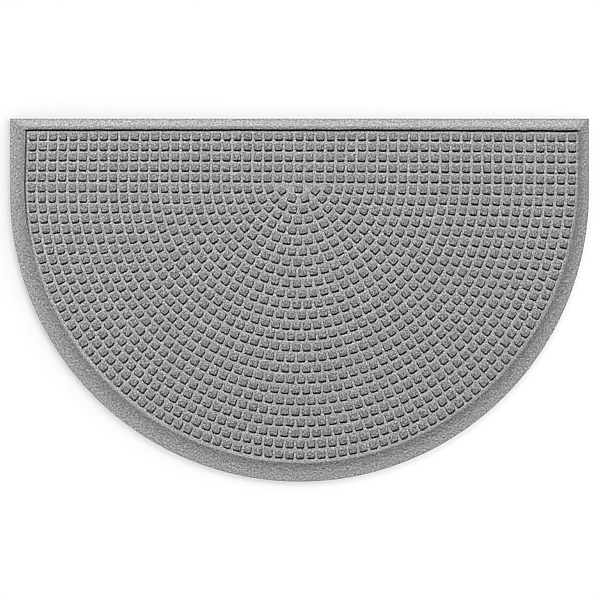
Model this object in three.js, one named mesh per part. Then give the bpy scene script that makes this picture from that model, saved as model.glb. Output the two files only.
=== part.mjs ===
// Half-round entrance mat, moulded in one piece: a flat underside, a thin rim, a border that
// climbs to a rounded crest, and a sunk field of small raised squares inside the crest.
// Millimetres. X runs along the straight edge, Y from the round end to the straight edge and
// Z up. The origin is on the underside, in the middle of the mat's box.

import * as THREE from 'three';

// Outline: a straight edge with square corners, short straight sides and a half circle
const WIDTH = 990.6;
const DEPTH = 621;
const ROUND_RADIUS = WIDTH / 2;
const ROUND_CENTRE_Y = ROUND_RADIUS - DEPTH / 2;

// Heights above the underside
const RIM_THICKNESS = 2.8;
const CHANNEL_HEIGHT = 5.2;
const SQUARE_HEIGHT = 8.8;
const CREST_HEIGHT = 9.5;

// Section of the border: share is the part of the way from the rim to the field's edge
const BORDER_SECTION = [
  { share: 0.4, height: 3.85 },
  { share: 0.68, height: 6.8 },
  { share: 0.84, height: CREST_HEIGHT },
];

// Straight rows of squares, the last of them through the centre of the rings
const ROWS = 5;
const COLUMNS_EACH_SIDE = 26;
const COLUMN_PITCH = 17.75;
const ROW_PITCH = 17.812;

// Half rings of squares below the last row. A ring has this many equal gaps around it: three
// for each step of its radius, and a few more or less, with one square less than gaps.
const RINGS = COLUMNS_EACH_SIDE;
const GAPS_PER_RING_STEP = 3;
const EXTRA_GAPS = [
  { lastRing: 2, extra: -1 },
  { lastRing: 13, extra: 0 },
  { lastRing: 25, extra: 2 },
  { lastRing: 26, extra: 3 },
];

// Centre of the rings on the mat, and how the field lies a little out of true. Its pitch grows
// with each column to the right and each row down. It leans to the left, less and less with
// the square of the rows. Its rows drop to the right and bow with the square of the columns.
const CENTRE_X = -1.36;
const CENTRE_Y = 208.6;
const COLUMN_GROWTH = { perColumn: 0.00042, perRow: 0.00034 };
const ROW_GROWTH = { perColumn: 0.00081, perRow: 0.00078 };
const LEAN_PER_ROW = 0.337;
const LEAN_EASE = 0.0034;
const DROP_PER_COLUMN = 0.094;
const ROW_BOW = 0.0013;

// Channel corners of neighbouring rings that come closer than this are one point
const CORNER_MERGE = 2.5;

const positions = [];
const triangles = [];

function addPoint(x, y, z) {
  positions.push(x, y, z);
  return positions.length / 3 - 1;
}

function pointAt(index) {
  return positions.slice(3 * index, 3 * index + 3);
}

// Triangles from one point to each side of a closed loop, facing up when the loop runs
// anticlockwise seen from above
function addFan(hub, loop) {
  loop.forEach((corner, i) => triangles.push(hub, corner, loop[(i + 1) % loop.length]));
}

// Band between two loops of as many points each
function addBand(inner, outer) {
  inner.forEach((corner, i) => {
    const next = (i + 1) % inner.length;
    triangles.push(corner, outer[i], outer[next]);
    triangles.push(corner, outer[next], inner[next]);
  });
}

// Point of the field, counted in columns to the right of the rings' centre and in rows down
// from it, at a height above the underside
function addFieldPoint(across, down, height) {
  const columnGrowth = 1 + COLUMN_GROWTH.perColumn * across + COLUMN_GROWTH.perRow * down;
  const rowGrowth = 1 + ROW_GROWTH.perColumn * across + ROW_GROWTH.perRow * down;
  const lean = LEAN_PER_ROW * down - LEAN_EASE * down ** 2;
  const drop = DROP_PER_COLUMN * across + ROW_BOW * across ** 2;
  const x = CENTRE_X + COLUMN_PITCH * across * columnGrowth - lean;
  const y = CENTRE_Y - ROW_PITCH * down * rowGrowth - drop;
  return addPoint(x, y, height);
}

// Point of a half ring. The angle runs anticlockwise from the left end to the right end.
function addRingPoint(radius, angle, height) {
  return addFieldPoint(-radius * Math.cos(angle), radius * Math.sin(angle), height);
}

// Channel crossings of the straight rows, as rows of points from the top down
function makeCrossings() {
  const crossings = [];
  for (let row = 0; row <= ROWS; row += 1) {
    const line = [];
    for (let column = 0; column <= 2 * COLUMNS_EACH_SIDE + 1; column += 1) {
      const across = column - COLUMNS_EACH_SIDE - 0.5;
      line.push(addFieldPoint(across, row - ROWS + 0.5, CHANNEL_HEIGHT));
    }
    crossings.push(line);
  }
  return crossings;
}

// Squares of the straight rows: each rises from its four crossings to one high point
function addRowSquares(crossings) {
  for (let row = 0; row < ROWS; row += 1) {
    for (let column = 0; column <= 2 * COLUMNS_EACH_SIDE; column += 1) {
      const across = column - COLUMNS_EACH_SIDE;
      const top = addFieldPoint(across, row + 1 - ROWS, SQUARE_HEIGHT);
      const above = crossings[row];
      const below = crossings[row + 1];
      addFan(top, [above[column], below[column], below[column + 1], above[column + 1]]);
    }
  }
}

function gapsInRing(ring) {
  const { extra } = EXTRA_GAPS.find(({ lastRing }) => ring <= lastRing);
  return GAPS_PER_RING_STEP * ring + extra;
}

// Angles of the channels that part the squares of one ring
function partingAngles(ring) {
  if (ring < 1 || ring > RINGS) return [];
  const gaps = gapsInRing(ring);
  return Array.from({ length: gaps - 2 }, (_, i) => (Math.PI * (i + 1.5)) / gaps);
}

// Channel outside a ring: its ends are crossings of the last straight row, and between them
// lie the corners of the squares on both sides of it
function makeRingChannel(ring, lastCrossings) {
  const radius = ring + 0.5;
  const mergeAngle = CORNER_MERGE / (radius * COLUMN_PITCH);
  const angles = [...partingAngles(ring), ...partingAngles(ring + 1)].sort((a, b) => a - b);
  const channel = [{ angle: 0, point: lastCrossings[COLUMNS_EACH_SIDE - ring] }];
  angles.forEach((angle) => {
    if (angle - channel.at(-1).angle < mergeAngle) return;
    channel.push({ angle, point: addRingPoint(radius, angle, CHANNEL_HEIGHT) });
  });
  channel.push({ angle: Math.PI, point: lastCrossings[COLUMNS_EACH_SIDE + 1 + ring] });
  return channel;
}

// Points of a channel between its points nearest to two angles
function channelStretch(channel, from, to) {
  const nearest = (angle) => {
    const distances = channel.map((corner) => Math.abs(corner.angle - angle));
    return distances.indexOf(Math.min(...distances));
  };
  return channel.slice(nearest(from), nearest(to) + 1).map((corner) => corner.point);
}

// Squares of one half ring, between the channels inside and outside it
function addRingSquares(ring, inside, outside) {
  const limits = [0, ...partingAngles(ring), Math.PI];
  for (let square = 0; square < limits.length - 1; square += 1) {
    const top = addRingPoint(ring, (Math.PI * (square + 1)) / gapsInRing(ring), SQUARE_HEIGHT);
    const outer = channelStretch(outside, limits[square], limits[square + 1]);
    const inner = channelStretch(inside, limits[square], limits[square + 1]);
    addFan(top, [...outer, ...inner.reverse()]);
  }
}

// Place on the rim beside a point of the field's left, round or right edge: straight across
// at the straight sides, and outwards from the circle's centre at the round end
function rimBeside(point) {
  const [x, y] = pointAt(point);
  if (y > ROUND_CENTRE_Y) return [Math.sign(x) * ROUND_RADIUS, y];
  const reach = ROUND_RADIUS / Math.hypot(x, y - ROUND_CENTRE_Y);
  return [x * reach, ROUND_CENTRE_Y + (y - ROUND_CENTRE_Y) * reach];
}

// Edge of the field with the rim beside it, anticlockwise from the upper left corner. Along
// the straight edge the rim's points are spread evenly from corner to corner.
function makeEdge(crossings, outerChannel) {
  const left = crossings.slice(1).map((line) => line[0]);
  const round = outerChannel.slice(1, -1).map((corner) => corner.point);
  const right = crossings.slice(1).map((line) => line.at(-1));
  const sides = [...left, ...round, ...right.reverse()];
  const topLine = crossings[0];
  const top = topLine.map((point, column) => {
    const share = column / (topLine.length - 1);
    return { point, rim: [WIDTH * (share - 0.5), DEPTH / 2] };
  });
  return [...sides.map((point) => ({ point, rim: rimBeside(point) })), ...top.reverse()];
}

// Rim, border and underside around the field
function addBorder(edge) {
  const foot = edge.map(({ rim: [x, y] }) => addPoint(x, y, 0));
  let outer = edge.map(({ rim: [x, y] }) => addPoint(x, y, RIM_THICKNESS));
  addBand(outer, foot);
  BORDER_SECTION.forEach(({ share, height }) => {
    const inner = edge.map(({ point, rim: [rimX, rimY] }) => {
      const [x, y] = pointAt(point);
      return addPoint(rimX + (x - rimX) * share, rimY + (y - rimY) * share, height);
    });
    addBand(inner, outer);
    outer = inner;
  });
  addBand(edge.map(({ point }) => point), outer);
  addFan(addPoint(0, 0, 0), foot.reverse());
}

function makeMatGeometry() {
  const crossings = makeCrossings();
  addRowSquares(crossings);
  const lastCrossings = crossings.at(-1);
  let inside = makeRingChannel(0, lastCrossings);
  for (let ring = 1; ring <= RINGS; ring += 1) {
    const outside = makeRingChannel(ring, lastCrossings);
    addRingSquares(ring, inside, outside);
    inside = outside;
  }
  addBorder(makeEdge(crossings, inside));
  const geometry = new THREE.BufferGeometry();
  geometry.setAttribute('position', new THREE.Float32BufferAttribute(positions, 3));
  geometry.setIndex(triangles);
  geometry.computeVertexNormals();
  return geometry;
}

const greyFelt = new THREE.MeshStandardMaterial({
  color: 0x8f8f8f,
  roughness: 0.95,
  metalness: 0,
});

const mat = new THREE.Mesh(makeMatGeometry(), greyFelt);
mat.name = 'mat';

const group = new THREE.Group();
group.add(mat);

export default group;
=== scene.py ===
import math

import bpy
import numpy as np
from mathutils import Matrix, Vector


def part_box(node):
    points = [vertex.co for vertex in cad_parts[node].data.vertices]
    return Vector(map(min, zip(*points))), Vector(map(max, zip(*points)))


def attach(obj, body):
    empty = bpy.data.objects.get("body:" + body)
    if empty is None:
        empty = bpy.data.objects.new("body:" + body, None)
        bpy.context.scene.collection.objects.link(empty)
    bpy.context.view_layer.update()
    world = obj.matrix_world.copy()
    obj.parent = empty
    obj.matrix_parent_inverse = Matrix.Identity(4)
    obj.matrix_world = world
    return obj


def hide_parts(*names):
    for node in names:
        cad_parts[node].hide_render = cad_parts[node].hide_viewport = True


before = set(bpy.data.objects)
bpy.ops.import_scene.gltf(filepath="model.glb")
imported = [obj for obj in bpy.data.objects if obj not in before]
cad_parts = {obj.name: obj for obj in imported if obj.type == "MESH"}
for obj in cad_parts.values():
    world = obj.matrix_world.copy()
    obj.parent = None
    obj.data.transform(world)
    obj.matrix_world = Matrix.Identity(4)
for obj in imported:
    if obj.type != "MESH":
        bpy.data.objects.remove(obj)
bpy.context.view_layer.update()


# The moulded sheet: needle-punched grey felt on a thin rubber backing, pressed into one piece.
# A thin flat rim rises in a hollow curve to a rounded crest that holds water in. Inside it a
# wall, steepest along the straight edge, drops to the floor that carries the raised squares.

mat_low, mat_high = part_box("mat")
WIDTH = mat_high.x - mat_low.x
DEPTH = 0.621
ROUND_RADIUS = WIDTH / 2
ROUND_CENTRE_Y = ROUND_RADIUS - DEPTH / 2
RIM_HEIGHT = 0.0028
BACKING_HEIGHT = 0.0012
CHANNEL_HEIGHT = 0.0052
CREST_HEIGHT = mat_high.z

# The field of squares, a little out of true. Each pair of growths is per column and per row.
COLUMN_PITCH = 0.01775
ROW_PITCH = 0.017812
FIELD_CENTRE = (-0.00136, 0.2086)
COLUMN_GROWTH = (0.00042, 0.00034)
ROW_GROWTH = (0.00081, 0.00078)
LEAN_PER_ROW = 0.000337
LEAN_EASE = 0.0000034
DROP_PER_COLUMN = 0.000094
ROW_BOW = 0.0000013
ROWS = 5
RINGS = 26
# The edge of the field, half a step beyond its outermost squares
FIELD_REACH = RINGS + 0.5
TOP_LINE = 0.5 - ROWS

# Steps of the border down each side, round the end and along the straight edge, and how many
# of them on either side its width and the direction it faces are smoothed over
BORDER_STEPS = (28, 400, 250)
WIDTH_SMOOTHING = 5
FACING_SMOOTHING = 1

# The underside and the floor, as shares of the way to the middle of the field
UNDERSIDE_SHARES = (0.8, 0.4, 0.1, 0.0012)
FLOOR_SHARES = (0.02, 0.06, 0.14, 0.28, 0.5, 0.78)
# The cut edge and the flat rim, as distances inwards from the outline and heights
CUT_EDGE = (
    (0.0, 0.0003),
    (0.0, BACKING_HEIGHT),
    (0.0, RIM_HEIGHT - 0.0002),
    (0.0001, RIM_HEIGHT),
    (0.0006, RIM_HEIGHT),
)

# The ramp: shares of its width, how hollow it is, and the share of its width over which it
# is rounded off at the crest. Each of the last two is for the sides and what facing up adds.
RAMP_SHARES = np.array((0.12, 0.24, 0.35, 0.45, 0.54, 0.62, 0.7, 0.77, 0.83, 0.88, 0.92, 0.96))
RAMP_HOLLOW = (2.5, -0.5)
RAMP_ROUNDING = (0.03, 0.17)

# The crest and the wall's upper edge and foot, as distances outwards from the edge of the
# field. Along the straight edge and the left side the wall is steep, and its cut side is
# darkened with painted shade.
# Each distance of the steep one is for the left side and what facing up adds.
STEEP_CREST = (0.0039, 0.0034)
STEEP_EDGE = (0.0030, 0.0)
STEEP_FOOT = (0.0009, -0.0014)
# Painted shade on the steep wall's cut side, as a tone
STEEP_WALL_SHADE = 0.40
# Elsewhere it is an even slope. By the direction faced, in degrees from left through the round
# end to right: distance of the crest, and the painted shading of the wall and of the crest,
# painted shade below 1 and painted light above it.
ROUND_WALL = np.array(
    (
        (0, 0.0042, 1.10, 0.62),
        (22, 0.0044, 1.00, 0.58),
        (40, 0.0047, 0.93, 0.65),
        (60, 0.0049, 0.83, 0.72),
        (90, 0.0043, 0.74, 0.68),
        (120, 0.0029, 0.70, 0.70),
        (140, 0.0027, 0.70, 0.78),
        (157, 0.0031, 0.80, 0.74),
        (171, 0.0022, 0.83, 0.75),
        (180, 0.0018, 1.05, 0.60),
    )
)
EDGE_INSIDE_ROUND_CREST = 0.0004
FOOT_INSIDE_ROUND_CREST = 0.0031
# The slope begins to take over from the steep wall where facing right less facing up passes
# the first of these, and has taken over when it is more by the second
SLOPE_STARTS = -0.97
SLOPE_BLEND = 0.3
# The crest: shares of its width, and its fall inwards on the sides and what facing up adds
CREST_SHARES = np.array((0, 0.35, 0.65, 0.85, 1))
CREST_FALL = (0.0002, 0.0009)
# Points of the wall: shares of the way from its upper edge to its foot, and heights above the
# floor of the channels
STEEP_WALL = np.array(((0.1, 0.0026), (0.35, 0.0012), (0.65, 0.0003), (1.0, 0.0)))
ROUND_WALL_SECTION = np.array(((0.2, 0.0029), (0.45, 0.0017), (0.7, 0.0007), (1.0, 0.0)))
# How far inside the foot of the wall the floor begins
FLOOR_BESIDE_WALL = 0.0015

# Unevenness: how many steps on either side it is smoothed over, and its size. The crest and
# the wall waver in and out, the steep wall's upper edge is frayed, and the crest swells.
BORDER_SEED = 11
WAVER = (6, 0.0004)
FRAY = (1, 0.0003)
SWELL = (9, 0.0002)

# Painted shade on the ramps and crests of the top, left and right sides, set by how each faces
# the lamps; and how light the channels' floor is made, partly for its harder pressing and
# partly painted light
TOP_CREST_SHADE = 0.93
LEFT_CREST_SHADE = 0.68
RIGHT_CREST_SHADE = 0.68
CHANNEL_PRESSED_AND_LIT_TONE = 1.05


def field_place(across, down):
    """Places of points of the field. Across counts columns to the right of the centre of the
    rings and down counts rows towards the round end. Each pitch grows a little with both
    counts. The field leans to the left with each row down, less and less, and each row drops
    to the right and bows down towards both ends, with the square of the columns."""
    column_growth = 1 + COLUMN_GROWTH[0] * across + COLUMN_GROWTH[1] * down
    row_growth = 1 + ROW_GROWTH[0] * across + ROW_GROWTH[1] * down
    lean = LEAN_PER_ROW * down - LEAN_EASE * down**2
    drop = DROP_PER_COLUMN * across + ROW_BOW * across**2
    x = FIELD_CENTRE[0] + COLUMN_PITCH * across * column_growth - lean
    y = FIELD_CENTRE[1] - ROW_PITCH * down * row_growth - drop
    return np.stack([x, y], axis=-1)


def edge_and_rim(side_steps, round_steps, top_steps):
    """The edge of the field and the rim beside it, as closed paths of as many points each,
    anticlockwise from the upper left corner: down the left side, round the outermost half
    ring, up the right side and back along the top. The rim lies straight across from the
    sides, outwards from the circle's centre beside the half ring, and evenly spread along the
    straight edge. Also the border's width at each point, square to the rim, and the direction
    the rim faces there."""
    side = np.linspace(TOP_LINE, 0.5, side_steps + 1)
    dip = math.asin(0.5 / FIELD_REACH)
    turn = np.linspace(dip, math.pi - dip, round_steps)
    along = np.linspace(FIELD_REACH, -FIELD_REACH, top_steps + 1)[1:-1]
    left = field_place(-FIELD_REACH, side[:-1])
    bow = field_place(-FIELD_REACH * np.cos(turn), FIELD_REACH * np.sin(turn))
    right = field_place(FIELD_REACH, side[-2::-1])
    top = field_place(along, TOP_LINE)

    share = np.linspace(0, 1, side_steps + 1)[:-1]
    left_rim_y = DEPTH / 2 + (bow[0, 1] - DEPTH / 2) * share
    right_rim_y = DEPTH / 2 + (bow[-1, 1] - DEPTH / 2) * share[::-1]
    left_rim = np.stack([np.full(side_steps, -ROUND_RADIUS), left_rim_y], axis=-1)
    right_rim = np.stack([np.full(side_steps, ROUND_RADIUS), right_rim_y], axis=-1)
    top_rim_x = ROUND_RADIUS * along / FIELD_REACH
    top_rim = np.stack([top_rim_x, np.full_like(top_rim_x, DEPTH / 2)], axis=-1)
    spoke = bow - (0, ROUND_CENTRE_Y)
    round_rim = spoke * (ROUND_RADIUS / np.linalg.norm(spoke, axis=1))[:, None]
    round_rim[:, 1] += ROUND_CENTRE_Y
    straight_rim = np.stack([np.sign(bow[:, 0]) * ROUND_RADIUS, bow[:, 1]], axis=-1)
    bow_rim = np.where(bow[:, 1:] > ROUND_CENTRE_Y, straight_rim, round_rim)

    edge = np.concatenate([left, bow, right, top])
    rim = np.concatenate([left_rim, bow_rim, right_rim, top_rim])
    width = np.concatenate(
        [
            left[:, 0] + ROUND_RADIUS,
            np.linalg.norm(bow_rim - bow, axis=1),
            ROUND_RADIUS - right[:, 0],
            DEPTH / 2 - top[:, 1],
        ]
    )
    facing = np.concatenate(
        [
            np.tile((-1.0, 0.0), (side_steps, 1)),
            (bow_rim - bow) / np.linalg.norm(bow_rim - bow, axis=1)[:, None],
            np.tile((1.0, 0.0), (side_steps, 1)),
            np.tile((0.0, 1.0), (top_steps - 1, 1)),
        ]
    )
    return edge, rim, width, facing


def smoothed_round(values, reach):
    """A closed row of values, each the weighted mean of its neighbours within the reach, with
    weights that fall off as a raised cosine."""
    weights = np.hanning(2 * reach + 3)[1:-1]
    steps = np.arange(-reach, reach + 1)
    neighbours = [np.roll(values, step, axis=0) for step in steps]
    return np.tensordot(weights / weights.sum(), neighbours, axes=1)


def uneven(chance, count, unevenness):
    """A closed row of random values, smoothed over the reach and multiplied by the size that
    the unevenness gives."""
    reach, size = unevenness
    return smoothed_round(chance.normal(0, 1, count), reach) * size


def closed_from_loops(name, loops, first_pole, last_pole):
    """A closed mesh from loops of as many points each, joined one to the next by four-sided
    faces, with a fan of triangles to a pole at each end. Returns the object and, for each
    face, the number of the band it lies in."""
    count, around = loops.shape[:2]
    points = np.concatenate([loops.reshape(-1, 3), [first_pole, last_pole]])
    here = np.arange(around)
    after = np.roll(here, -1)
    start = np.arange(count - 1)[:, None] * around
    quads = np.stack(
        [start + here, start + after, start + around + after, start + around + here], axis=-1
    ).reshape(-1, 4)
    last = (count - 1) * around
    first_fan = np.stack([np.full(around, count * around), after, here], axis=-1)
    last_fan = np.stack([last + here, last + after, np.full(around, count * around + 1)], axis=-1)
    mesh = bpy.data.meshes.new(name)
    mesh.from_pydata(points, [], quads.tolist() + first_fan.tolist() + last_fan.tolist())
    mesh.polygons.foreach_set("use_smooth", np.ones(len(mesh.polygons), bool))
    band = np.concatenate(
        [np.repeat(np.arange(1, count), around), np.zeros(around, int), np.full(around, count)]
    )
    piece = bpy.data.objects.new(name, mesh)
    bpy.context.scene.collection.objects.link(piece)
    return piece, band


def place_wall(facing, chance):
    """Distances outwards from the edge of the field of the crest, of the wall's upper edge and
    of its foot. The steep wall and the even slope are blended by the direction faced. Also the
    share of the slope in the blend, and the painted shading of the slope and its crest: painted
    shade, and painted light on the wall at the far left and right."""
    right, up = facing.T
    sloped = np.clip((right - up - SLOPE_STARTS) / SLOPE_BLEND, 0, 1)
    steep = 1 - sloped
    direction = np.degrees(np.arctan2(np.abs(up), -right))
    round_crest, round_wall_shading, round_crest_shade = (
        np.interp(direction, ROUND_WALL[:, 0], column) for column in ROUND_WALL[:, 1:].T
    )
    steep_crest, steep_edge, steep_foot = (
        at_left + rise * up for at_left, rise in (STEEP_CREST, STEEP_EDGE, STEEP_FOOT)
    )
    waver = uneven(chance, len(facing), WAVER)
    fray = uneven(chance, len(facing), FRAY)
    crest_at = waver + steep * steep_crest + sloped * round_crest
    round_edge = round_crest - EDGE_INSIDE_ROUND_CREST
    edge_at = waver + steep * (steep_edge + fray) + sloped * round_edge
    round_foot = round_crest - FOOT_INSIDE_ROUND_CREST
    foot_at = waver + steep * steep_foot + sloped * round_foot
    return crest_at, edge_at, foot_at, sloped, round_wall_shading, round_crest_shade


def paint_sheet_shading(facing, sloped, round_wall_shading, round_crest_shade, loops_before_ramp, loop_count):
    """Painted shading of the felt at each point, lighter or darker for how light falls there. It
    is 1 up to the rim and changes evenly up the ramp to that of the crest. On a steep side this
    is less by the painted shades of the top, left and right sides, in proportion to how far the
    side faces up, and with the square of how far it faces left and the fourth power of how far
    it faces right. The wall has one painted tone down to its foot, which is half way to 1: shade
    along the steep wall and most of the round end, light at its far left and right. The
    channels' floor has its own, lighter, partly for its harder pressing and partly painted
    light."""
    right, up = facing.T
    top_shade = (1 - TOP_CREST_SHADE) * np.maximum(up, 0)
    left_shade = (1 - LEFT_CREST_SHADE) * np.minimum(right, 0) ** 2
    right_shade = (1 - RIGHT_CREST_SHADE) * np.maximum(right, 0) ** 4
    side_shade = top_shade + left_shade + right_shade
    wall_shading = STEEP_WALL_SHADE * (1 - sloped) + round_wall_shading * sloped
    crest_start = loops_before_ramp + len(RAMP_SHARES)
    wall_start = crest_start + len(CREST_SHARES)
    foot = wall_start + len(STEEP_WALL) - 1
    tone = np.ones((loop_count, len(facing)))
    tone[loops_before_ramp:crest_start] -= side_shade * RAMP_SHARES[:, None]
    tone[crest_start:wall_start] = (1 - side_shade) * (1 - sloped) + round_crest_shade * sloped
    tone[wall_start:foot] = wall_shading
    tone[foot] = (wall_shading + 1) / 2
    tone[foot + 1 :] = CHANNEL_PRESSED_AND_LIT_TONE
    return tone


def make_sheet():
    """The sheet's section carried round the mat. Each loop of points lies between the rim and
    the edge of the field: first the flat underside, then the rim's cut edge, the ramp, the
    crest and the wall, and last the floor, which shrinks towards the middle of the field. The
    ramp climbs as a power of the way along it, less an exponential that rounds it off near the
    crest, scaled to end at the crest's height. The crest falls inwards with the square of the
    way across it."""
    edge, rim, width, facing = edge_and_rim(*BORDER_STEPS)
    around = len(edge)
    chance = np.random.default_rng(BORDER_SEED)
    width = smoothed_round(width, WIDTH_SMOOTHING)
    facing = smoothed_round(facing, FACING_SMOOTHING)
    up = facing[:, 1]
    crest_at, edge_at, foot_at, sloped, *round_shadings = place_wall(facing, chance)
    hollow = RAMP_HOLLOW[0] + RAMP_HOLLOW[1] * up
    rounding = RAMP_ROUNDING[0] + RAMP_ROUNDING[1] * np.maximum(up, 0) ** 2
    fall = CREST_FALL[0] + CREST_FALL[1] * np.maximum(up, 0)
    crest_height = CREST_HEIGHT - SWELL[1] + uneven(chance, around, SWELL)
    middle = edge.mean(axis=0)

    def loop_between(share, height):
        share = np.broadcast_to(share, around)[:, None]
        flat = rim + (edge - rim) * share
        return np.column_stack([flat, np.broadcast_to(height, around)])

    def loop_towards_middle(path, share, height):
        flat = path + (middle - path) * share
        return np.column_stack([flat, np.broadcast_to(height, around)])

    underside = [loop_towards_middle(rim, share, 0) for share in UNDERSIDE_SHARES]
    cut_edge = [loop_between(inwards / width, height) for inwards, height in CUT_EDGE]
    ramp_end = 1 - crest_at / width
    ramp = []
    for share in RAMP_SHARES:
        rounded_off = hollow * rounding
        climb = share**hollow - rounded_off * np.exp((share - 1) / rounding)
        height = RIM_HEIGHT + (crest_height - RIM_HEIGHT) * climb / (1 - rounded_off)
        ramp.append(loop_between(ramp_end * share, height))
    crest = [
        loop_between(
            1 - (crest_at + (edge_at - crest_at) * share) / width,
            crest_height - fall * share**2,
        )
        for share in CREST_SHARES
    ]
    wall_section = STEEP_WALL[:, :, None] * (1 - sloped) + ROUND_WALL_SECTION[:, :, None] * sloped
    wall = [
        loop_between(
            1 - (edge_at + (foot_at - edge_at) * share) / width, CHANNEL_HEIGHT + height
        )
        for share, height in wall_section
    ]
    wall.append(loop_between(1 - (foot_at - FLOOR_BESIDE_WALL) / width, CHANNEL_HEIGHT))
    floor = [loop_towards_middle(edge, share, CHANNEL_HEIGHT) for share in FLOOR_SHARES]

    loops = np.array(underside + cut_edge + ramp + crest + wall + floor)
    poles = (*middle, 0), (*middle, CHANNEL_HEIGHT)
    piece, band = closed_from_loops("moulded_sheet", loops, *poles)
    rubber_bands = len(underside)
    piece.data.polygons.foreach_set("material_index", (band <= rubber_bands).astype(np.int32))
    loops_before_ramp = len(underside) + len(cut_edge)
    tone = paint_sheet_shading(facing, sloped, *round_shadings, loops_before_ramp, len(loops))
    values = np.append(tone, (1, CHANNEL_PRESSED_AND_LIT_TONE))
    piece.data.attributes.new("tone", "FLOAT", "POINT").data.foreach_set("value", values)
    return piece


def add_node(tree, kind, inputs=(), **settings):
    """A shader node with its settings, and with its inputs filled by values or by links from
    other nodes' outputs, given as pairs of the input's name or number and the filling."""
    made = tree.nodes.new(kind)
    for key, value in settings.items():
        setattr(made, key, value)
    for key, filling in dict(inputs).items():
        if isinstance(filling, bpy.types.NodeSocket):
            tree.links.new(filling, made.inputs[key])
        else:
            made.inputs[key].default_value = filling
    return made


def make_group(name, inputs, outputs):
    """An empty shader node group with its sockets, and its input and output nodes."""
    group = bpy.data.node_groups.new(name, "ShaderNodeTree")
    for label, kind in inputs:
        group.interface.new_socket(label, in_out="INPUT", socket_type=kind)
    for label, kind in outputs:
        group.interface.new_socket(label, in_out="OUTPUT", socket_type=kind)
    return group, group.nodes.new("NodeGroupInput"), group.nodes.new("NodeGroupOutput")


# Turns of the layers of fibres, in degrees
FIBRE_DIRECTIONS = (12, 57, 103, 151)


def make_needled_fibres():
    """Needled felt. Fibres are noise drawn out along four directions and bent by a slower
    noise, of which the highest shows at each place. Tone blends them with clumps a few
    millimetres wide and runs from the dark places, 0, to the light ones, 1. Height is how far
    the surface stands up: lumps drawn out from the straight edge towards the round end, with
    some of the fibres' own height on them."""
    group, given, result = make_group(
        "needled_fibres",
        [("Vector", "NodeSocketVector"), ("Clump Scale", "NodeSocketFloat")],
        [("Tone", "NodeSocketFloat"), ("Height", "NodeSocketFloat")],
    )
    vector = given.outputs["Vector"]
    wander = add_node(group, "ShaderNodeTexNoise", {"Vector": vector, "Scale": 140.0})
    bend = add_node(
        group,
        "ShaderNodeVectorMath",
        {0: wander.outputs["Color"], "Scale": 0.005},
        operation="SCALE",
    )
    place = add_node(
        group, "ShaderNodeVectorMath", {0: vector, 1: bend.outputs[0]}, operation="ADD"
    )
    strands = None
    for degrees in FIBRE_DIRECTIONS:
        laid = add_node(
            group,
            "ShaderNodeMapping",
            {
                "Vector": place.outputs[0],
                "Rotation": (0.0, 0.0, math.radians(degrees)),
                "Scale": (300.0, 2000.0, 1000.0),
            },
        )
        layer = add_node(
            group, "ShaderNodeTexNoise", {"Vector": laid.outputs[0], "Scale": 1.0, "Detail": 1.0}
        )
        highest = layer.outputs["Fac"]
        if strands is not None:
            highest = add_node(
                group, "ShaderNodeMath", {0: strands, 1: highest}, operation="MAXIMUM"
            ).outputs[0]
        strands = highest
    fibres = add_node(
        group, "ShaderNodeMapRange", {"Value": strands, "From Min": 0.5, "From Max": 0.78}
    )
    clumps = add_node(
        group,
        "ShaderNodeTexNoise",
        {"Vector": vector, "Scale": given.outputs["Clump Scale"], "Detail": 3.0},
    )
    clumped = add_node(
        group,
        "ShaderNodeMapRange",
        {"Value": clumps.outputs["Fac"], "From Min": 0.3, "From Max": 0.7},
    )
    tone = add_node(
        group, "ShaderNodeMix", {"Factor": 0.65, "A": fibres.outputs[0], "B": clumped.outputs[0]}
    )
    drawn = add_node(group, "ShaderNodeMapping", {"Vector": vector, "Scale": (620.0, 250.0, 400.0)})
    lumps = add_node(
        group, "ShaderNodeTexNoise", {"Vector": drawn.outputs[0], "Scale": 1.0, "Detail": 0.5}
    )
    lumped = add_node(
        group,
        "ShaderNodeMapRange",
        {"Value": lumps.outputs["Fac"], "From Min": 0.3, "From Max": 0.7},
    )
    height = add_node(
        group,
        "ShaderNodeMath",
        {0: fibres.outputs[0], 1: 0.4, 2: lumped.outputs[0]},
        operation="MULTIPLY_ADD",
    )
    group.links.new(tone.outputs["Result"], result.inputs["Tone"])
    group.links.new(height.outputs[0], result.inputs["Height"])
    return group


needled_fibres = make_needled_fibres()


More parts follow.
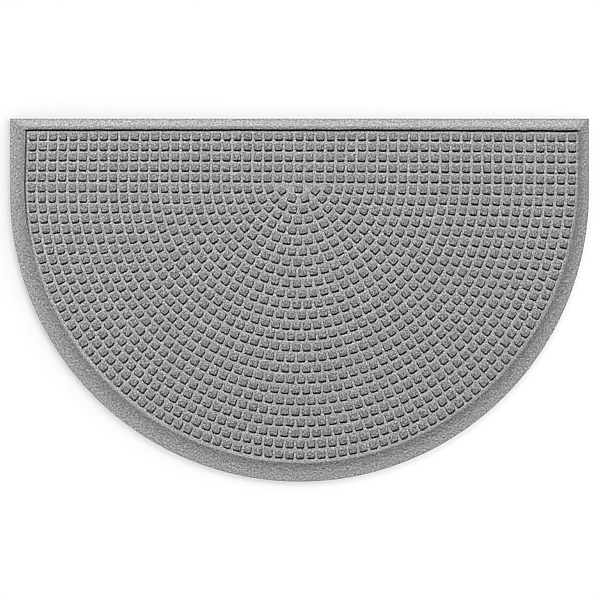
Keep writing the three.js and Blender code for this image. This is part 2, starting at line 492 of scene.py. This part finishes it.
def make_felt(name, dark, mean, light, relief):
    """Grey felt, heathered from dark and light fibres, with a height of relief in metres. The
    attribute tone multiplies its colour with painted shade in cut sides and on crests and
    painted light on parts of the round end's wall; in the channels it is lighter, partly for
    the harder pressing and partly painted light."""
    material = bpy.data.materials.new(name)
    material.use_nodes = True
    tree = material.node_tree
    shader = tree.nodes["Principled BSDF"]
    shader.inputs["Specular IOR Level"].default_value = 0.2
    shader.inputs["Sheen Weight"].default_value = 0.1
    shader.inputs["Sheen Roughness"].default_value = 0.6
    place = add_node(tree, "ShaderNodeTexCoord").outputs["Object"]
    fibres = add_node(tree, "ShaderNodeGroup", node_tree=needled_fibres)
    fibres.inputs["Clump Scale"].default_value = 330.0
    tree.links.new(place, fibres.inputs["Vector"])
    colours = add_node(tree, "ShaderNodeValToRGB", {"Fac": fibres.outputs["Tone"]})
    ramp = colours.color_ramp.elements
    ramp.new(0.5)
    for stop, position, grey in zip(ramp, (0.1, 0.5, 0.9), (dark, mean, light)):
        stop.position = position
        stop.color = (grey, grey, grey, 1)
    roughness = add_node(
        tree,
        "ShaderNodeMapRange",
        {"Value": fibres.outputs["Tone"], "To Min": 0.97, "To Max": 0.85},
    )
    bump = add_node(
        tree,
        "ShaderNodeBump",
        {"Height": fibres.outputs["Height"], "Strength": 1.0, "Distance": relief},
    )
    # Painted shade and painted light, from the attribute tone, are multiplied into the colour
    tone = add_node(tree, "ShaderNodeAttribute", attribute_name="tone")
    # Inputs 6 and 7 and output 2 of a mixing node are its colours
    toned = add_node(
        tree, "ShaderNodeMix", {"Factor": 1.0}, data_type="RGBA", blend_type="MULTIPLY"
    )
    tree.links.new(colours.outputs["Color"], toned.inputs[6])
    tree.links.new(tone.outputs["Fac"], toned.inputs[7])
    tree.links.new(toned.outputs[2], shader.inputs["Base Color"])
    tree.links.new(roughness.outputs[0], shader.inputs["Roughness"])
    tree.links.new(bump.outputs["Normal"], shader.inputs["Normal"])
    return material


def make_rubber():
    """Dark rubber backing, with the fine stipple of the plate it was pressed on and a bloom of
    paler dust."""
    material = bpy.data.materials.new("rubber_backing")
    material.use_nodes = True
    tree = material.node_tree
    shader = tree.nodes["Principled BSDF"]
    shader.inputs["Specular IOR Level"].default_value = 0.35
    place = add_node(tree, "ShaderNodeTexCoord").outputs["Object"]
    stipple = add_node(
        tree, "ShaderNodeTexVoronoi", {"Vector": place, "Scale": 900.0}, feature="SMOOTH_F1"
    )
    bloom = add_node(
        tree, "ShaderNodeTexNoise", {"Vector": place, "Scale": 14.0, "Detail": 6.0}
    )
    colours = add_node(tree, "ShaderNodeValToRGB", {"Fac": bloom.outputs["Fac"]})
    ramp = colours.color_ramp.elements
    for stop, position, grey in zip(ramp, (0.3, 0.75), (0.02, 0.04)):
        stop.position = position
        stop.color = (grey, grey, grey, 1)
    roughness = add_node(
        tree,
        "ShaderNodeMapRange",
        {"Value": bloom.outputs["Fac"], "To Min": 0.55, "To Max": 0.85},
    )
    bump = add_node(
        tree,
        "ShaderNodeBump",
        {"Height": stipple.outputs["Distance"], "Strength": 0.6, "Distance": 0.0003},
    )
    tree.links.new(colours.outputs["Color"], shader.inputs["Base Color"])
    tree.links.new(roughness.outputs[0], shader.inputs["Roughness"])
    tree.links.new(bump.outputs["Normal"], shader.inputs["Normal"])
    return material


sheet = make_sheet()
sheet.data.materials.append(
    make_felt("pressed_felt", dark=0.235, mean=0.385, light=0.58, relief=0.0008)
)
sheet.data.materials.append(make_rubber())
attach(sheet, "root")
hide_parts("mat")


# The raised squares: blocks of the same felt left standing between the channels, so that
# shoes are scraped and water runs below them. Five straight rows lie along the straight edge,
# and half rings of squares, each turned to face the rings' centre, fill the round end.

# A ring has three gaps for each step of its radius, and up to each last ring so many extra
GAPS_PER_RING_STEP = 3
LAST_RINGS_AND_EXTRA_GAPS = ((2, -1), (13, 0), (25, 2), (26, 3))
# A step along the row or ring, in columns, short enough to show its direction
SHORT_STEP = 0.01

# Section of a square: half of its width, height above the floor of the channels, and tone,
# which darkens its sides with painted shade
SQUARE_SECTION = np.array(
    [
        (0.00665, -0.00025, 0.85),
        (0.00650, 0.00050, 0.85),
        (0.00625, 0.00190, 0.90),
        (0.00575, 0.00278, 1.00),
        (0.00440, 0.00315, 0.98),
    ]
)
SQUARE_CROWN_HEIGHT = 0.00368
SQUARE_CROWN_SHADING = 1.0
SQUARE_CORNER_RADIUS = 0.0020
# How much wider a square is along its row or its ring than across it
ROW_STRETCH = 1.05
RING_STRETCH = 1.08
# How far the squares differ: in turn, in size, in height, and in the place of each point
SQUARES_SEED = 23
TURN_SPREAD = math.radians(1.2)
SIZE_SPREAD = 0.018
HEIGHT_SPREAD = 0.03
POINT_SPREAD = 0.00017


def square_places():
    """Middles, turns and stretches of all squares, the rows first and then ring after ring.
    In ring r the squares lie at equal steps of angle: half a turn over three gaps a step of
    radius, and a few more or less. A square is turned along its row or ring."""
    columns, rows = np.meshgrid(np.arange(-RINGS, RINGS + 1), np.arange(1 - ROWS, 1))
    rings = np.arange(1, RINGS + 1)
    last, extra = np.array(LAST_RINGS_AND_EXTRA_GAPS).T
    gaps = GAPS_PER_RING_STEP * rings + extra[np.searchsorted(last, rings)]
    ring = np.repeat(rings, gaps - 1)
    first = np.repeat(np.cumsum(gaps - 1) - (gaps - 1), gaps - 1)
    angle = np.pi * (np.arange(len(ring)) - first + 1) / np.repeat(gaps, gaps - 1)
    across = np.concatenate([columns.ravel(), -ring * np.cos(angle)])
    down = np.concatenate([rows.ravel(), ring * np.sin(angle)])
    step_across = np.concatenate([np.ones(columns.size), np.sin(angle)]) * SHORT_STEP
    step_down = np.concatenate([np.zeros(rows.size), np.cos(angle)]) * SHORT_STEP
    middle = field_place(across, down)
    along = field_place(across + step_across, down + step_down) - middle
    stretch = np.repeat((ROW_STRETCH, RING_STRETCH), (columns.size, len(ring)))
    return middle, np.arctan2(along[:, 1], along[:, 0]), stretch


def make_squares():
    """Each square is five loops of twelve points, three round each corner, with a face below
    and a fan of faces to a crown point above. Every square has its own slight difference of
    size, turn, height and corners, as cut fibre has."""
    middle, turn, stretch = square_places()
    count = len(middle)
    chance = np.random.default_rng(SQUARES_SEED)
    turn = turn + chance.normal(0, TURN_SPREAD, count)
    size = 1 + chance.normal(0, SIZE_SPREAD, (count, 2))
    size[:, 0] *= stretch
    lift = 1 + chance.normal(0, HEIGHT_SPREAD, count)
    quarter = np.repeat(np.arange(4), 3)
    corner_turn = np.tile((0, math.pi / 4, math.pi / 2), 4) + quarter * math.pi / 2
    corner_side = quarter * math.pi / 2 + math.pi / 4
    inset = SQUARE_SECTION[:, :1] - SQUARE_CORNER_RADIUS
    loop_x = inset * np.sign(np.cos(corner_side)) + SQUARE_CORNER_RADIUS * np.cos(corner_turn)
    loop_y = inset * np.sign(np.sin(corner_side)) + SQUARE_CORNER_RADIUS * np.sin(corner_turn)
    each_point = (count, *loop_x.shape)
    x = loop_x * size[:, 0, None, None] + chance.normal(0, POINT_SPREAD, each_point)
    y = loop_y * size[:, 1, None, None] + chance.normal(0, POINT_SPREAD, each_point)
    z = np.broadcast_to(SQUARE_SECTION[:, 1, None], loop_x.shape) * lift[:, None, None]
    crown = np.full((count, 1, 3), (0, 0, SQUARE_CROWN_HEIGHT)) * lift[:, None, None]
    blocks = np.concatenate([np.stack([x, y, z], axis=-1).reshape(count, -1, 3), crown], axis=1)
    cos, sin = np.cos(turn)[:, None], np.sin(turn)[:, None]
    points = np.stack(
        [
            middle[:, :1] + blocks[..., 0] * cos - blocks[..., 1] * sin,
            middle[:, 1:] + blocks[..., 0] * sin + blocks[..., 1] * cos,
            CHANNEL_HEIGHT + blocks[..., 2],
        ],
        axis=-1,
    )

    loops, around = loop_x.shape
    here = np.arange(around)
    after = np.roll(here, -1)
    start = np.arange(loops - 1)[:, None] * around
    walls = np.stack(
        [start + here, start + after, start + around + after, start + around + here], axis=-1
    ).reshape(-1, 4)
    last = (loops - 1) * around
    fan = np.stack([last + here, last + after, np.full(around, loops * around)], axis=-1)
    step = (np.arange(count) * blocks.shape[1])[:, None, None]
    faces = [(step + part).reshape(-1, part.shape[-1]).tolist() for part in (walls, fan)]
    soles = (step[:, 0] + here[::-1]).tolist()
    mesh = bpy.data.meshes.new("raised_squares")
    mesh.from_pydata(points.reshape(-1, 3), [], faces[0] + faces[1] + soles)
    smooth = np.arange(len(mesh.polygons)) < len(faces[0]) + len(faces[1])
    mesh.polygons.foreach_set("use_smooth", smooth)
    # Painted shade on the squares' sides, and none at the crown, carried as the attribute tone
    tone = np.append(np.repeat(SQUARE_SECTION[:, 2], around), SQUARE_CROWN_SHADING)
    values = np.tile(tone, count)
    mesh.attributes.new("tone", "FLOAT", "POINT").data.foreach_set("value", values)
    piece = bpy.data.objects.new("raised_squares", mesh)
    bpy.context.scene.collection.objects.link(piece)
    return piece


squares = make_squares()
squares.data.materials.append(
    make_felt("raised_felt", dark=0.12, mean=0.28, light=0.51, relief=0.0008)
)
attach(squares, "root")
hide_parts("mat")


# The studio: a white floor and backdrop. The mat has its own lamps, a broad one beyond the
# straight edge and a little to the left, and a weaker one to the left. The floor has others,
# above and low all round, and an even fill reaches both.

FLOOR_REACH = 6.3
FLOOR_GREY = 0.9
# The backdrop's strength as light, and to look at, where it is brighter than the floor
FILL = 0.10
BACKDROP = 3.0
LAMP_DISTANCE = 9.0
# The floor's low lamps: height angle, the lamp's height, and its share of their light
LOW_LAMPS = ((8, 1.2, 0.36), (15, 2.0, 0.34), (26, 3.4, 0.30))
LOW_LAMP_WIDTH = 6.0
LOW_LAMP_STEP = 60
# Their light is strongest from one turn, by a swing about its mean
STRONGEST_TURN = -65
LOW_LIGHT_MEAN = 0.44
LOW_LIGHT_SWING = 0.22
# The camera looks straight down on this width and centre at the height of the rim
CAMERA_HEIGHT = 2.1
VIEW_WIDTH = 1.02636
VIEW_CENTRE = (0.00086, 0.00009)
DISPLAY_GAMMA = 2.2
SHARPENING = 0.16


def make_floor():
    """A flat white square of one face, from minus to plus the reach."""
    mesh = bpy.data.meshes.new("floor")
    corners = np.array([(-1, -1, 0), (1, -1, 0), (1, 1, 0), (-1, 1, 0)]) * FLOOR_REACH
    mesh.from_pydata(corners, [], [(0, 1, 2, 3)])
    material = bpy.data.materials.new("floor")
    material.use_nodes = True
    shader = material.node_tree.nodes["Principled BSDF"]
    shader.inputs["Base Color"].default_value = (FLOOR_GREY, FLOOR_GREY, FLOOR_GREY, 1)
    shader.inputs["Roughness"].default_value = 1.0
    shader.inputs["Specular IOR Level"].default_value = 0.0
    mesh.materials.append(material)
    piece = bpy.data.objects.new("floor", mesh)
    bpy.context.scene.collection.objects.link(piece)
    return piece


floor = make_floor()


def add_lamp(name, receivers, height_angle, turn, distance, size, irradiance):
    """An elliptical lamp that faces the origin and lights the receivers alone. The height
    angle is above the floor and the turn is from the far side, +Y, to the left, in degrees.
    The size is its width and height. The irradiance is what it gives square to its beam, and
    its power is that times pi and the square of the distance."""
    height_angle, turn = math.radians(height_angle), math.radians(turn)
    lamp = bpy.data.lights.new(name, "AREA")
    lamp.shape = "ELLIPSE"
    lamp.size, lamp.size_y = size
    lamp.energy = irradiance * math.pi * distance**2
    stand = bpy.data.objects.new(name, lamp)
    reach = distance * math.cos(height_angle)
    stand.location = (
        -reach * math.sin(turn),
        reach * math.cos(turn),
        distance * math.sin(height_angle),
    )
    stand.rotation_euler = (height_angle - math.pi / 2, 0, turn)
    stand.visible_camera = False
    stand.light_linking.receiver_collection = receivers
    bpy.context.scene.collection.objects.link(stand)


def make_receivers(name, *pieces):
    """A collection of pieces that a lamp lights."""
    receivers = bpy.data.collections.new(name)
    for piece in pieces:
        receivers.objects.link(piece)
    return receivers


lit_mat = make_receivers("lit_mat", sheet, squares)
lit_floor = make_receivers("lit_floor", floor)
add_lamp(
    "key",
    lit_mat,
    height_angle=43.5,
    turn=5,
    distance=LAMP_DISTANCE,
    size=(1.6, 1.6),
    irradiance=4.52,
)
add_lamp(
    "side", lit_mat, height_angle=35, turn=85, distance=1.5, size=(0.8, 0.8), irradiance=0.3
)
add_lamp(
    "floor_above",
    lit_floor,
    height_angle=90,
    turn=0,
    distance=LAMP_DISTANCE,
    size=(4.0, 4.0),
    irradiance=0.90,
)
# Low lamps all round give the floor its soft shadow beside the mat, deepest at the lower left
for turn in range(STRONGEST_TURN, STRONGEST_TURN + 360, LOW_LAMP_STEP):
    swing = LOW_LIGHT_SWING * math.cos(math.radians(turn - STRONGEST_TURN))
    for height_angle, height, share in LOW_LAMPS:
        irradiance = share * (LOW_LIGHT_MEAN + swing) / math.sin(math.radians(height_angle))
        name = f"floor_{height_angle}_{turn}"
        size = (LOW_LAMP_WIDTH, height)
        add_lamp(name, lit_floor, height_angle, turn, LAMP_DISTANCE, size, irradiance)

world = bpy.data.worlds.new("studio")
world.use_nodes = True
backdrop = world.node_tree.nodes["Background"]
backdrop.inputs["Color"].default_value = (1, 1, 1, 1)
seen = add_node(world.node_tree, "ShaderNodeLightPath").outputs["Is Camera Ray"]
strength = add_node(
    world.node_tree,
    "ShaderNodeMath",
    {0: seen, 1: BACKDROP - FILL, 2: FILL},
    operation="MULTIPLY_ADD",
)
world.node_tree.links.new(strength.outputs[0], backdrop.inputs["Strength"])
bpy.context.scene.world = world

camera = bpy.data.cameras.new("camera")
camera.sensor_width = 36
camera.lens = camera.sensor_width * (CAMERA_HEIGHT - RIM_HEIGHT) / VIEW_WIDTH
camera_stand = bpy.data.objects.new("camera", camera)
camera_stand.location = (*VIEW_CENTRE, CAMERA_HEIGHT)
bpy.context.scene.collection.objects.link(camera_stand)
bpy.context.scene.camera = camera_stand
bpy.context.scene.view_settings.view_transform = "Standard"

# A light sharpening of the finished picture, on its display values
bpy.context.scene.use_nodes = True
finish = bpy.context.scene.node_tree
finish.nodes.clear()
picture = add_node(finish, "CompositorNodeRLayers").outputs["Image"]
for kind, inputs, settings in (
    ("CompositorNodeGamma", {"Gamma": 1 / DISPLAY_GAMMA}, {}),
    ("CompositorNodeFilter", {"Fac": SHARPENING}, {"filter_type": "SHARPEN"}),
    ("CompositorNodeGamma", {"Gamma": DISPLAY_GAMMA}, {}),
):
    picture = add_node(finish, kind, {"Image": picture, **inputs}, **settings).outputs["Image"]
add_node(finish, "CompositorNodeComposite", {"Image": picture})
